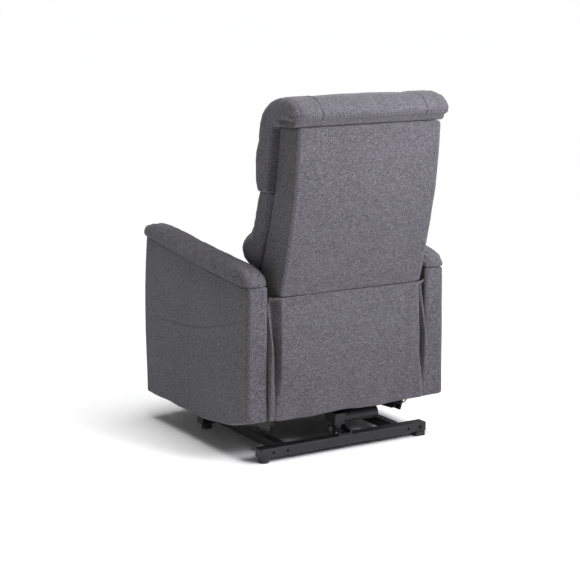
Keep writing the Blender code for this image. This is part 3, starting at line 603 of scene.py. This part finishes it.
def dress_back_pillow(obj, half, seed):
    shape = Shape(obj)
    x, u, z = shape.x.copy(), shape.u.copy(), shape.z.copy()
    outer = ramp(u - shell_front(z), 0.006, 0.020)
    for side in (1, -1):
        rim = np.abs(x - side * (half - 0.013))
        shape.push(0.0006 * gathered(z, 0.031, seed + side) * bell(rim, 0.016) * outer)
        shape.sew(rim, 0.0020, 0.0024, outer, 0.6, 0.0004)
    shape.push(0.0017 * field(shape.points, 11, seed) * outer)
    shape.finish()


def dress_seat(obj):
    shape = Shape(obj)
    x, u, z = shape.x.copy(), shape.u.copy(), shape.z.copy()
    top = ramp(z, 0.440, 0.462)
    centre = bell(x, 0.20) * bell(u - 0.43, 0.24)
    shape.points[:, 2] += (0.004 * centre - 0.003 * (1 - centre)) * top
    for side in (1, -1):
        rim = np.abs(x - side * 0.262)
        shape.push(0.0012 * gathered(u, 0.034, side) * bell(rim, 0.020) * top)
        shape.sew(rim, 0.0026, 0.0028, top * (u < 0.66), 0.7, 0.0006)
    line = np.abs(u - 0.640)
    shape.push(0.0012 * gathered(x, 0.036, 5) * bell(line, 0.020) * top)
    shape.sew(line, 0.0030, 0.0030, top * (np.abs(x) < 0.264), 0.8, 0.0007)
    shape.push(0.0018 * field(shape.points, 9, 4) * top)
    welt = np.abs(z - 0.408)
    shape.sew(welt, 0.0018, 0.0024, (u > 0.69) * 1.0, 0.6)
    shape.finish()


def dress_footrest(obj):
    shape = Shape(obj)
    x, u, z = shape.x.copy(), shape.u.copy(), shape.z.copy()
    front = ramp(u, 0.698, 0.708)
    middle = np.abs(z - 0.300)
    shape.push(0.0010 * gathered(x, 0.040, 2) * bell(middle, 0.018) * front)
    shape.sew(middle, 0.0024, 0.0026, front, 0.8, 0.0006)
    shape.push(0.0012 * field(shape.points, 10, 6) * front)
    shape.finish()


def dress_arm_pad(obj):
    shape = Shape(obj)
    x, u, z = shape.x.copy(), shape.u.copy(), shape.z.copy()
    seam_z = 0.569 + 0.066 * u + 0.055 * u * u - 0.045 * np.maximum(0.0, u - 0.6)
    above = z - seam_z
    crown = ramp(above, 0.004, 0.020)
    sides = ramp(np.abs(x - 0.336), 0.034, 0.039)
    for edge in (1, -1):
        shape.sew(np.abs(above - 0.022), 0.0010, 0.0022, sides * (edge * (x - 0.336) > 0) * ramp(u, 0.02, 0.08), 0.45)
    rear = 1.0 - ramp(u, 0.010, 0.085)
    wander = 0.010 * field(np.column_stack((x, u, z)), 22, 5)
    shape.push(0.0012 * gathered(x + 0.9 * above + wander, 0.026, 1.3) * rear * crown)
    tuck = np.hypot(u - 0.074, 1.4 * (above - 0.030))
    outer = ramp(x, 0.350, 0.366)
    shape.sew(np.abs(tuck - 0.0125), 0.0020, 0.0022, outer * crown * (above < 0.034) * (u < 0.088), 0.85, 0.0008)
    across = np.abs(u - 0.040 - 0.30 * above)
    shape.sew(across, 0.0014, 0.0022, crown, 0.40)
    nose = ramp(u, 0.640, 0.690)
    shape.push(0.0009 * gathered(x + wander, 0.026, 2.1) * nose * crown)
    shape.push(0.0016 * field(shape.points, 13, 8) * crown)
    shape.finish()


def mirrored(obj, name):
    mesh = obj.data.copy()
    points = coordinates(mesh)
    points[:, 0] *= -1
    set_coordinates(mesh, points)
    mesh.flip_normals()
    return add_object(name, mesh)


# ---------------------------------------------------------------- upholstered frames

CREASE = (
    (0.000, 0.468), (0.031, 0.461), (0.130, 0.432), (0.234, 0.408),
    (0.320, 0.389), (0.417, 0.378), (0.548, 0.372), (0.640, 0.371),
)  # (u, z) along the seam on the arm's outer face


def dress_arm(obj):
    shape = Shape(obj)
    x, u, z = shape.x.copy(), shape.u.copy(), shape.z.copy()
    outside = ramp(x, 0.360, 0.3690)
    shape.points[:, 0] += outside * np.interp(z, (0.10, 0.30, 0.58), (0.0050, 0.0020, -0.0030))
    inside = (1 - ramp(x, 0.304, 0.320)) * (1 - ramp(u, 0.010, 0.045))
    shape.points[:, 0] -= 0.0050 * inside
    place = np.column_stack((u, z))
    crease, _ = polyline_distance(place, CREASE)
    shape.push(0.0016 * bell(z - 0.44, 0.10) * bell(u - 0.30, 0.25) * outside)
    shape.sew(crease, 0.0016, 0.0042, outside * ramp(u, 0.02, 0.06) * (1 - ramp(u, 0.60, 0.66)), 0.50, 0.0005)
    shape.sew(np.abs(u - 0.384), 0.0013, 0.0034, outside * (1 - ramp(z, 0.372, 0.380)), 0.45, 0.0003)
    rear = ramp(-u, -0.0100, -0.0005)
    for edge in (0.3075, 0.3660):
        shape.sew(np.abs(x - edge), 0.0010, 0.0018, rear, 0.45)
    corner = np.hypot(x - 0.3695, u - 0.0060)
    # lighter outer rear corner of the arm: partly rub wear, partly painted highlight
    shape.wear_and_highlight = np.maximum(shape.wear_and_highlight, 0.6 * bell(corner, 0.004))
    shape.sew(np.hypot(x - 0.3705, u - 0.0100), 0.0012, 0.0020, ramp(x, 0.3655, 0.3695), 0.75)
    shape.push(0.0011 * field(shape.points, 7, 11))
    lower = 1 - ramp(z, 0.10, 0.16)
    shape.points[:, 2] += 0.0012 * np.sin(u * 38) * lower
    shape.finish()


def dress_shell(obj):
    shape = Shape(obj)
    x, u, z = shape.x.copy(), shape.u.copy(), shape.z.copy()
    rear_u = np.interp(z, (0.5335, 0.651, 0.847, 1.062), (-0.014, -0.048, -0.096, -0.120))
    rear = 1 - ramp(u - rear_u, 0.004, 0.016)
    shape.push(0.0030 * bell(x, 0.20) * bell(z - 0.82, 0.22) * rear)
    for side in (1, -1):
        shape.sew(np.abs(x - side * 0.2575), 0.0011, 0.0019, rear * (x * side > 0), 0.60, 0.0004)
        # lighter rear corners of the shell: partly rub wear, partly painted highlight
        shape.wear_and_highlight = np.maximum(shape.wear_and_highlight, 0.7 * bell(np.hypot(x - side * 0.2625, u - rear_u - 0.002), 0.0035))
    shape.push(0.0014 * field(shape.points, 6, 13) * rear + 0.0006 * field(shape.points, 15, 14))
    shape.finish()


def cut_handset_pocket(obj):
    """The recess in the right arm's outer side that the handset sits in, cut as in the frame."""
    low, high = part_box("handset_body")
    builder = bmesh.new()
    bmesh.ops.create_cube(builder, size=1.0)
    size = Vector((0.06, high.y - low.y + 0.004, high.z - low.z + 0.004))
    centre = Vector((high.x + 0.0006 - 0.03, (low.y + high.y) / 2, (low.z + high.z) / 2))
    for v in builder.verts:
        v.co = Vector((v.co.x * size.x, v.co.y * size.y, v.co.z * size.z)) + centre
    mesh = bpy.data.meshes.new("pocket_guide")
    builder.to_mesh(mesh)
    builder.free()
    guide = add_object("pocket_guide", mesh)
    cut = obj.modifiers.new("pocket", "BOOLEAN")
    cut.operation = "DIFFERENCE"
    cut.solver = "EXACT"
    cut.object = guide
    apply_modifiers(obj)
    bpy.data.objects.remove(guide)


# ---------------------------------------------------------------- skirt

SKIRT_TOP, SKIRT_BOTTOM = 0.5322, 0.142


def skirt_row(t):
    """Outside of the skirt at a share t of its height, as (x, u) from the left gusset's edge to the right one's.

    A pinched fold parts each gusset from the rear panel; it is deep under the seam and closes towards the hem.
    """
    rear = -0.0125 - 0.0080 * math.sin(math.pi * t)
    front = -0.0012 + 0.0460 * share(t, 0.42, 1.10)
    edge = 0.3010 - 0.0055 * share(t, 0.42, 0.66)
    deep = 0.0040 + 0.0300 * share(t, 0.04, 0.55)
    valley = rear + deep * (1 - 0.92 * share(t, 0.95, 1.0))
    crest = rear + 0.0040 + 0.0260 * share(t, 0.50, 0.95) * (1 - 0.6 * share(t, 0.95, 1.0))
    crest = min(crest, front - 0.0030)
    panel = 0.2760 - 0.0150 * share(t, 0.0, 0.45) - 0.0050 * share(t, 0.5, 0.9)
    deepest = 0.2825 - 0.0075 * share(t, 0.0, 0.45) + 0.0035 * share(t, 0.5, 0.9)
    left = [(edge, front), (edge - 0.0006, 0.5 * (front + crest)), (edge - 0.0030, crest), (0.2875, crest - 0.0004)]
    for step in (0.15, 0.40, 0.70, 0.90):
        left.append((0.2875 + (deepest - 0.2875) * step, crest + (valley - crest) * share(step, 0.0, 1.0)))
    for step in (0.0, 0.10, 0.30, 0.55, 0.80, 0.95):
        left.append((deepest + (panel - deepest) * step, valley + (rear - valley) * share(step, 0.0, 1.0)))
    left += [(panel - 0.0050, rear - 0.0004), (0.2490, rear - 0.0006), (0.2440, rear - 0.0006)]
    middle = [(0.2350 * k / 8, rear - 0.0010) for k in range(8, -9, -1)]
    return left + middle + [(-x, u) for x, u in left[::-1]]


def share(value, low, high):
    """A smooth step from 0 to 1 between low and high."""
    t = min(1.0, max(0.0, (value - low) / (high - low)))
    return t * t * (3 - 2 * t)


def resampled(path, count):
    points = np.array(path, float)
    steps = np.concatenate(([0.0], np.cumsum(np.linalg.norm(np.diff(points, axis=0), axis=1))))
    at = np.linspace(0, steps[-1], count)
    return np.column_stack((np.interp(at, steps, points[:, 0]), np.interp(at, steps, points[:, 1]))), steps[-1]


def make_skirt():
    columns, rows = 300, 130
    vertices, widths = [], []
    for j in range(rows):
        t = j / (rows - 1)
        z = SKIRT_BOTTOM + (SKIRT_TOP - SKIRT_BOTTOM) * t
        path, width = resampled(skirt_row(t), columns)
        widths.append(width)
        hem = 1 - float(ramp(np.array(t), 0.0, 0.35))
        sewn = 1 - float(ramp(np.array(t), 0.90, 1.0))
        for x, u in path:
            inside = float(ramp(np.array(0.289 - abs(x)), 0.0, 0.03))
            wave = 0.0022 * math.sin(x * 34 + 0.8) + 0.0012 * math.sin(x * 71)
            soft = 0.0020 * noise.noise(Vector((x * 8, 2.2, z * 5))) * sewn
            u += inside * (wave * hem + soft)
            u += inside * 0.0026 * math.exp(-(((x + 0.205) / 0.014) ** 2)) * float(ramp(np.array(t), 0.0, 0.5)) * sewn
            drop = 0.0022 * math.sin(x * 21 + 0.6) * hem * hem
            vertices.append((x, REAR_PLANE - u, z + drop))
    faces = []
    for j in range(rows - 1):
        for i in range(columns - 1):
            a = j * columns + i
            faces.append((a, a + 1, a + columns + 1, a + columns))
    mesh = bpy.data.meshes.new("rear_skirt_cloth")
    mesh.from_pydata(vertices, [], faces)
    mesh.update()
    skirt = add_object("rear_skirt_cloth", mesh, WEAVE)
    shape = Shape(skirt)
    if np.mean(shape.out[len(shape.out) // 2 - 40 : len(shape.out) // 2 + 40, 1]) < 0:
        mesh.flip_normals()
        shape = Shape(skirt)
    x, z = shape.x.copy(), shape.z.copy()
    shape.sew(np.abs(z - (SKIRT_BOTTOM + 0.020)), 0.0005, 0.0016, np.ones(len(x)), 0.35)
    shape.finish()
    thick = skirt.modifiers.new("cloth_thickness", "SOLIDIFY")
    thick.thickness = 0.0018
    thick.offset = -1.0
    thick.use_even_offset = True
    apply_modifiers(skirt)
    skirt.data.shade_smooth()
    return skirt, (float(np.mean(widths)), SKIRT_TOP - SKIRT_BOTTOM)


# ---------------------------------------------------------------- stitches


def surface_of(obj):
    graph = bpy.context.evaluated_depsgraph_get()
    return BVHTree.FromObject(obj, graph)


def thread_loop(builder, start, end, out, radius, rise):
    """One stitch: a short thread that leaves the cloth, lies on it and goes back in."""
    along = end - start
    side = along.cross(out).normalized()
    spine = []
    for k in range(6):
        t = k / 5
        lift = rise * math.sin(math.pi * t) ** 0.6 - radius * 0.6
        spine.append(start + along * t + out * lift)
    rings = []
    for k, point in enumerate(spine):
        ahead = (spine[min(k + 1, 5)] - spine[max(k - 1, 0)]).normalized()
        up = side.cross(ahead).normalized()
        ring = []
        for m in range(6):
            a = math.tau * m / 6
            ring.append(builder.verts.new(point + (side * math.cos(a) + up * math.sin(a)) * radius))
        rings.append(ring)
    for low, high in zip(rings, rings[1:]):
        for m in range(6):
            n = (m + 1) % 6
            builder.faces.new((low[m], low[n], high[n], high[m]))
    builder.faces.new(rings[0][::-1])
    builder.faces.new(rings[-1])


def stitch_row(name, obj, rays, radius, material, body, rise=0.0006, gap=0.12):
    """Stitches between successive points where the rays (origin, direction) meet the piece."""
    skin = surface_of(obj)
    hits = []
    for origin, direction in rays:
        place, out, _, _ = skin.ray_cast(Vector(origin), Vector(direction))
        if place:
            hits.append((place, out))
    builder = bmesh.new()
    for (a, out_a), (b, out_b) in zip(hits, hits[1:]):
        if (b - a).length > 0.03:
            continue
        along = b - a
        out = (out_a + out_b).normalized()
        thread_loop(builder, a + along * gap, b - along * gap, out, radius, rise)
    mesh = bpy.data.meshes.new(name)
    builder.to_mesh(mesh)
    builder.free()
    mesh.shade_smooth()
    return add_object(name, mesh, material, body)


def head_topstitch(head):
    rays = []
    count = 76
    for k in range(count + 1):
        x = 0.243 - (0.243 + 0.268) * k / count
        z = 1.0995 + (0.0034 if k % 2 else -0.0034)
        rays.append(((x, REAR_PLANE + 0.30, z), (0, -1, 0)))
    return stitch_row("head_roll_topstitch", head, rays, 0.0008, LIGHT_TOPSTITCH, "back", 0.0008, 0.10)


# ---------------------------------------------------------------- fasteners


def lathe(builder, centre, axis, profile, sides=20, turn=0.0):
    """A turned or hexagonal shape from (distance along the axis, radius) pairs, closed at both ends."""
    axis = Vector(axis).normalized()
    across = axis.orthogonal().normalized()
    other = axis.cross(across)
    rings = []
    for height, radius in profile:
        ring = []
        for k in range(sides):
            a = math.tau * k / sides + turn
            outward = (across * math.cos(a) + other * math.sin(a)) * radius
            ring.append(builder.verts.new(Vector(centre) + axis * height + outward))
        rings.append(ring)
    for low, high in zip(rings, rings[1:]):
        for k in range(sides):
            n = (k + 1) % sides
            builder.faces.new((low[k], low[n], high[n], high[k]))
    builder.faces.new(rings[0][::-1])
    builder.faces.new(rings[-1])


def hex_bolt(builder, centre, axis, size):
    lathe(builder, centre, axis, ((0.0, size * 1.35), (size * 0.22, size * 1.35), (size * 0.25, size * 1.25)), 24)
    head = ((size * 0.25, size * 0.98), (size * 0.28, size), (size * 0.85, size), (size * 0.98, size * 0.86))
    lathe(builder, centre, axis, head, 6, 0.3)


def fasteners(name, parts, material, body):
    builder = bmesh.new()
    for kind, *facts in parts:
        kind(builder, *facts)
    mesh = bpy.data.meshes.new(name)
    bmesh.ops.recalc_face_normals(builder, faces=builder.faces)
    builder.to_mesh(mesh)
    builder.free()
    mesh.shade_smooth()
    mesh.set_sharp_from_angle(angle=math.radians(35))
    return add_object(name, mesh, material, body)


def at(x, u, z):
    return (x, REAR_PLANE - u, z)


def make_fasteners():
    fork = []
    for side in (1, -1):
        fork.append((hex_bolt, at(side * 0.0252, 0.066, 0.0600), (side, 0, 0), 0.0060))
        fork.append((hex_bolt, at(side * 0.0252, 0.030, 0.0535), (side, 0, 0), 0.0040))
    fasteners("motor_bracket_bolts", fork, ZINC, "base")
    plates = []
    for side in (1, -1):
        for u in (0.398, 0.466):
            plates.append((hex_bolt, at(side * 0.2344, u, 0.0565), (side, 0, 0), 0.0045))
    fasteners("lift_bracket_bolts", plates, ZINC, "base")


# ---------------------------------------------------------------- cables

LEAD_ROUTE = (
    (-0.160, 0.2216, 0.203),
    (-0.160, 0.200, 0.202),
    (-0.165, 0.150, 0.180),
    (-0.180, 0.085, 0.150),
    (-0.198, 0.040, 0.129),
    (-0.212, 0.020, 0.124),
    (-0.228, 0.012, 0.129),
    (-0.238, 0.014, 0.143),
    (-0.236, 0.026, 0.164),
    (-0.218, 0.052, 0.195),
    (-0.195, 0.0850, 0.213),
)


def catmull(a, b, c, d, t):
    return 0.5 * (2 * b + (c - a) * t + (2 * a - 5 * b + 4 * c - d) * t * t + (3 * b - a - 3 * c + d) * t**3)


def smooth_route(points, steps):
    points = [np.array(p, float) for p in points]
    padded = [points[0], *points, points[-1]]
    route = []
    for a, b, c, d in zip(padded, padded[1:], padded[2:], padded[3:]):
        route += [catmull(a, b, c, d, k / steps) for k in range(steps)]
    return [Vector(p) for p in (*route, points[-1])]


def cable(name, route, radius, material, body):
    path = bpy.data.curves.new(name, "CURVE")
    path.dimensions = "3D"
    path.bevel_depth = radius
    path.bevel_resolution = 4
    path.use_fill_caps = True
    line = path.splines.new("POLY")
    line.points.add(len(route) - 1)
    for target, point in zip(line.points, route):
        target.co = (*point, 1.0)
    path.materials.append(material)
    made = bpy.data.objects.new(name, path)
    SCENE.collection.objects.link(made)
    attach(made, body)
    return made


def make_cables():
    route = smooth_route([at(*p) for p in LEAD_ROUTE], 4)
    lead = cable("motor_lead_cable", route, 0.0022, CABLE_BLACK, "chassis")
    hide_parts("motor_lead")


# ---------------------------------------------------------------- carried-over nodes


STEEL_NAMES = (
    "base_", "lift_", "chassis_", "back_bracket", "back_crossbar", "seat_rail",
    "foot_arm", "foot_link", "guide_", "tilt_", "foot_drive", "motor_bracket",
)  # how the names of the coated steel nodes begin


def dress_nodes():
    finishes = {name: COAT for name in NODES if name.startswith(STEEL_NAMES)}
    for name in ("lift_motor", "control_box", "handset_body"):
        finishes[name] = BLACK_PLASTIC
    for name in NODES:
        if name.endswith("_housing"):
            finishes[name] = BLACK_PLASTIC
        elif name.endswith("_rod"):
            finishes[name] = CHROME
        elif name.startswith("key_"):
            finishes[name] = KEY_GREY
        elif name.startswith(("foot_rear", "foot_front")):
            finishes[name] = RUBBER
    # The seat deck and footrest board are stained black, and this dark colour also paints the shade under the chair.
    finishes["seat_deck"] = finishes["ottoman_board"] = STAINED_SHADE_BOARD
    for name, finish in finishes.items():
        node_object = NODES[name]
        for place in range(len(node_object.material_slots)):
            node_object.material_slots[place].link = "OBJECT"
            node_object.material_slots[place].material = finish


# ---------------------------------------------------------------- stage


FLOOR_HALF = 120.0
OVERHEAD_ENERGY, OVERHEAD_ANGLE, OVERHEAD_FROM = 2.90, 44.0, (-0.06, 0.12, 1.0)
KEY_ENERGY, KEY_SPREAD, KEY_SIDE = 20.0, 66.0, 1.4
KEY_PLACE, KEY_AIM = (-0.95, 2.00, 2.00), (0.0, 0.10, 1.02)


def make_stage():
    mesh = bpy.data.meshes.new("floor")
    size = FLOOR_HALF
    mesh.from_pydata([(-size, -size, 0), (size, -size, 0), (size, size, 0), (-size, size, 0)], [], [(0, 1, 2, 3)])
    floor = add_object("floor", mesh, FLOOR)
    SCENE.world = make_studio_walls()
    overhead = bpy.data.lights.new("overhead_softbox", "SUN")
    overhead.energy = OVERHEAD_ENERGY
    overhead.angle = math.radians(OVERHEAD_ANGLE)
    place_light("overhead_softbox", overhead, (0, 0, 3), OVERHEAD_FROM)
    key = bpy.data.lights.new("rear_right_softbox", "AREA")
    key.shape = "RECTANGLE"
    key.size, key.size_y = KEY_SIDE, KEY_SIDE
    key.energy = KEY_ENERGY
    key.spread = math.radians(KEY_SPREAD)
    key.color = (0.955, 0.955, 1.0)
    spot = Vector(KEY_PLACE)
    place_light("rear_right_softbox", key, spot, spot - Vector(KEY_AIM))
    SCENE.view_settings.view_transform = "Standard"
    SCENE.view_settings.look = "None"


def make_studio_walls():
    """White walls low down, with a dim ceiling above them."""
    world = bpy.data.worlds.new("studio")
    world.use_nodes = True
    tree = world.node_tree
    direction = node(tree, "ShaderNodeTexCoord").outputs["Generated"]
    rise = node(tree, "ShaderNodeSeparateXYZ", {"Vector": direction}).outputs["Z"]
    level = node(
        tree, "ShaderNodeMapRange", {"Value": rise, "From Min": 0.10, "From Max": 0.22, "To Min": 1.0, "To Max": 0.13}
    )
    background = tree.nodes["Background"]
    background.inputs["Color"].default_value = (1.0, 1.0, 1.0, 1.0)
    tree.links.new(level.outputs["Result"], background.inputs["Strength"])
    return world


def place_light(name, light, location, towards):
    """towards is the direction from the object to the light."""
    made = bpy.data.objects.new(name, light)
    made.location = location
    made.rotation_mode = "QUATERNION"
    made.rotation_quaternion = Vector(towards).to_track_quat("Z", "Y")
    made.visible_camera = False
    SCENE.collection.objects.link(made)


CAMERA_TARGET = (0.22, REAR_PLANE, 0.551)
CAMERA_AZIMUTH, CAMERA_ELEVATION = 148.699, 11.306  # degrees, fitted to the photo's edges
CAMERA_DISTANCE, CAMERA_LENS = 5.061, 101.55  # metres and millimetres


def make_camera():
    azimuth, elevation, distance = math.radians(CAMERA_AZIMUTH), math.radians(CAMERA_ELEVATION), CAMERA_DISTANCE
    back = Vector(
        (math.sin(azimuth) * math.cos(elevation), -math.cos(azimuth) * math.cos(elevation), math.sin(elevation))
    )
    camera = bpy.data.objects.new("camera", bpy.data.cameras.new("camera"))
    camera.data.lens = CAMERA_LENS
    camera.data.sensor_width = 36.0
    camera.location = Vector(CAMERA_TARGET) + back * distance
    camera.rotation_mode = "QUATERNION"
    camera.rotation_quaternion = (-back).to_track_quat("-Z", "Y")
    camera.data.clip_start, camera.data.clip_end = 0.05, 400.0
    SCENE.collection.objects.link(camera)
    SCENE.camera = camera


# ---------------------------------------------------------------- assembly


def main():
    make_camera()
    make_cables()
    pads = make_pads()
    dress_head(pads["head_pillow"])
    dress_back_pillow(pads["lumbar_pillow"], LUMBAR_HALF, 2)
    dress_back_pillow(pads["lower_back_pillow"], LUMBAR_HALF, 3)
    dress_seat(pads["seat_pad"])
    dress_footrest(pads["footrest_pad"])
    dress_arm_pad(pads["arm_top_pad_left"])
    right_pad = mirrored(pads["arm_top_pad_left"], "arm_top_pad_right")
    for name, (source, body, *_rest) in PADS.items():
        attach(pads[name], body)
        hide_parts(source)
    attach(right_pad, "chassis")
    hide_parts("arm_pad_right")

    left_arm = wrapped("arm_panel_left", "arm_left", 0.0075)
    dress_arm(left_arm)
    right_arm = mirrored(left_arm, "arm_panel_right")
    cut_handset_pocket(right_arm)
    for arm, source in ((left_arm, "arm_left"), (right_arm, "arm_right")):
        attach(arm, "chassis")
        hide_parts(source)

    shell = wrapped("back_shell_cover", "back_shell", 0.0075)
    dress_shell(shell)
    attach(shell, "back")
    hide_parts("back_shell")

    skirt, flat = make_skirt()
    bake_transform(skirt)
    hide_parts("rear_skirt")

    head_topstitch(pads["head_pillow"])
    make_fasteners()
    dress_nodes()
    make_stage()


main()
